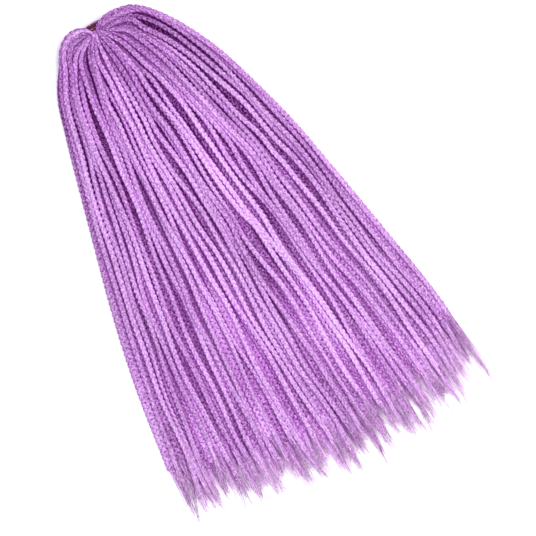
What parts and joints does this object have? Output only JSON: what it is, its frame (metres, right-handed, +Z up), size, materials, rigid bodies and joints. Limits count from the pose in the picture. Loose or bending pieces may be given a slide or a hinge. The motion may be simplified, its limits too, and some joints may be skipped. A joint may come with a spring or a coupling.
{
  "type": "crochet box braid hair",
  "caption": "Bundle of plaited box braids for crochet, gathered at its loop ends by a wound elastic band and lying in a fan with loose, tapering tips.",
  "frame": {"origin": "on the surface that the bundle lies on, under the middle of its bounding box", "axes": "+Y from the loose tips towards the tied loop ends, +X to the fan's fuller side, +Z up"},
  "size_m": [0.2916, 0.4672, 0.0209],
  "materials": {
    "hair": "soft sheen",
    "elastic": "matte"
  },
  "bodies": {
    "root": {"braid_01": "hair", "braid_02": "hair", "braid_03": "hair", "braid_04": "hair", "braid_05": "hair", "braid_06": "hair", "braid_07": "hair", "braid_08": "hair", "braid_09": "hair", "braid_10": "hair", "braid_11": "hair", "braid_12": "hair", "braid_13": "hair", "braid_14": "hair", "braid_15": "hair", "braid_16": "hair", "braid_17": "hair", "braid_18": "hair", "braid_19": "hair", "braid_20": "hair", "braid_21": "hair", "braid_22": "hair", "braid_23": "hair", "braid_24": "hair", "braid_25": "hair", "braid_26": "hair", "braid_27": "hair", "braid_28": "hair", "braid_29": "hair", "braid_30": "hair", "braid_31": "hair", "braid_32": "hair", "braid_33": "hair", "braid_34": "hair", "braid_35": "hair", "braid_36": "hair", "under_pair_01": "hair", "under_pair_02": "hair", "under_pair_03": "hair", "under_pair_04": "hair", "under_pair_05": "hair", "under_pair_06": "hair", "under_pair_07": "hair", "under_pair_08": "hair", "under_pair_09": "hair", "under_pair_10": "hair", "under_pair_11": "hair", "under_pair_12": "hair", "under_pair_13": "hair", "under_pair_14": "hair", "under_pair_15": "hair", "under_pair_16": "hair", "under_pair_17": "hair", "under_pair_18": "hair", "tie_band": "elastic"}
  },
  "joints": []
}
